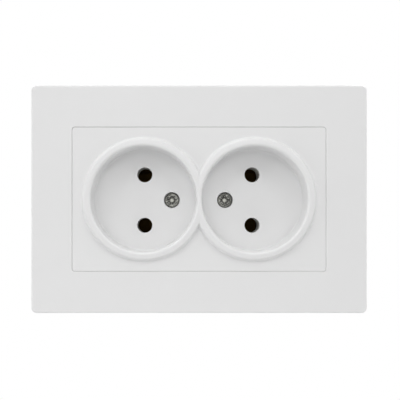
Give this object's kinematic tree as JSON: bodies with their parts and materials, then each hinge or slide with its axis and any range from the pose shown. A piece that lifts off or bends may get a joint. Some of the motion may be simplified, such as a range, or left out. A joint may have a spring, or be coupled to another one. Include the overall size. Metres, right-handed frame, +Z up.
{
  "type": "double wall socket",
  "caption": "Twin wall socket with round recessed wells for two-pin plugs, a screwed cover in a plain rectangular frame, a steel strap, brass contacts and spreading claws.",
  "frame": {"origin": "centre of the box-screw pattern, on the back face of the mounting strap, in the wall plane", "axes": "+X to the right along the two wells, +Y into the wall, +Z up; the front faces -Y"},
  "size_m": [0.1226, 0.0406, 0.083],
  "materials": {
    "white_frame": "satin white moulded plastic",
    "white_cover": "satin white moulded plastic",
    "light_insulator": "matte light grey moulded plastic",
    "dark_base": "matte black moulded plastic",
    "zinc_strap": "zinc-plated stamped steel",
    "zinc_screws": "zinc-plated screw steel",
    "claw_steel": "zinc-plated bent steel",
    "brass": "plain rolled brass"
  },
  "bodies": {
    "housing": {"base": "dark_base", "lower_busbar": "brass", "upper_busbar": "brass", "left_screw_bush": "brass", "right_screw_bush": "brass", "contact_cover": "light_insulator", "mounting_strap": "zinc_strap", "strap_rivets": "zinc_strap", "outer_frame": "white_frame", "double_cover": "white_cover", "left_cover_screw": "zinc_screws", "right_cover_screw": "zinc_screws"},
    "left_claw_screw": {"left_claw_screw": "zinc_screws"},
    "left_claw_nut": {"left_claw_nut": "claw_steel"},
    "left_claw": {"left_claw": "claw_steel"},
    "right_claw_screw": {"right_claw_screw": "zinc_screws"},
    "right_claw_nut": {"right_claw_nut": "claw_steel"},
    "right_claw": {"right_claw": "claw_steel"},
    "upper_clamp_plate": {"upper_clamp_plate": "claw_steel"},
    "upper_terminal_screw": {"upper_terminal_screw": "zinc_screws"},
    "lower_clamp_plate": {"lower_clamp_plate": "claw_steel"},
    "lower_terminal_screw": {"lower_terminal_screw": "zinc_screws"}
  },
  "joints": [
    {"name": "left_claw_screw_turn", "type": "hinge", "parent": "housing", "child": "left_claw_screw", "pos_m": [-0.02572, 0, 0], "axis": [0, 1, 0], "range_deg": [0, 8640.1]},
    {"name": "left_claw_nut_slide", "type": "slide", "parent": "housing", "child": "left_claw_nut", "axis": [0, -1, 0], "range_m": [0, 0.012]},
    {"name": "left_claw_slide", "type": "slide", "parent": "housing", "child": "left_claw", "axis": [-0.3511, -0.9363, 0], "range_m": [0, 0.01282]},
    {"name": "right_claw_screw_turn", "type": "hinge", "parent": "housing", "child": "right_claw_screw", "pos_m": [0.02572, 0, 0], "axis": [0, 1, 0], "range_deg": [0, 8640.1]},
    {"name": "right_claw_nut_slide", "type": "slide", "parent": "housing", "child": "right_claw_nut", "axis": [0, -1, 0], "range_m": [0, 0.012]},
    {"name": "right_claw_slide", "type": "slide", "parent": "housing", "child": "right_claw", "axis": [0.3511, -0.9363, 0], "range_m": [0, 0.01282]},
    {"name": "upper_clamp_slide", "type": "slide", "parent": "housing", "child": "upper_clamp_plate", "axis": [0, 0, 1], "range_m": [0, 0.0025]},
    {"name": "upper_terminal_screw_turn", "type": "hinge", "parent": "upper_clamp_plate", "child": "upper_terminal_screw", "pos_m": [0, 0.02035, 0.012], "axis": [0, 0, 1], "range_deg": [0, 1800.1]},
    {"name": "lower_clamp_slide", "type": "slide", "parent": "housing", "child": "lower_clamp_plate", "axis": [0, 0, -1], "range_m": [0, 0.0025]},
    {"name": "lower_terminal_screw_turn", "type": "hinge", "parent": "lower_clamp_plate", "child": "lower_terminal_screw", "pos_m": [0, 0.02035, -0.012], "axis": [0, 0, -1], "range_deg": [0, 1800.1]}
  ],
  "couplings": [
    {"joint": "left_claw_screw_turn", "follows": "left_claw_nut_slide", "rad_per_m": 12566},
    {"joint": "left_claw_slide", "follows": "left_claw_nut_slide", "ratio": 1.068},
    {"joint": "right_claw_screw_turn", "follows": "right_claw_nut_slide", "rad_per_m": 12566},
    {"joint": "right_claw_slide", "follows": "right_claw_nut_slide", "ratio": 1.068},
    {"joint": "upper_terminal_screw_turn", "follows": "upper_clamp_slide", "rad_per_m": 12566},
    {"joint": "lower_terminal_screw_turn", "follows": "lower_clamp_slide", "rad_per_m": 12566}
  ]
}
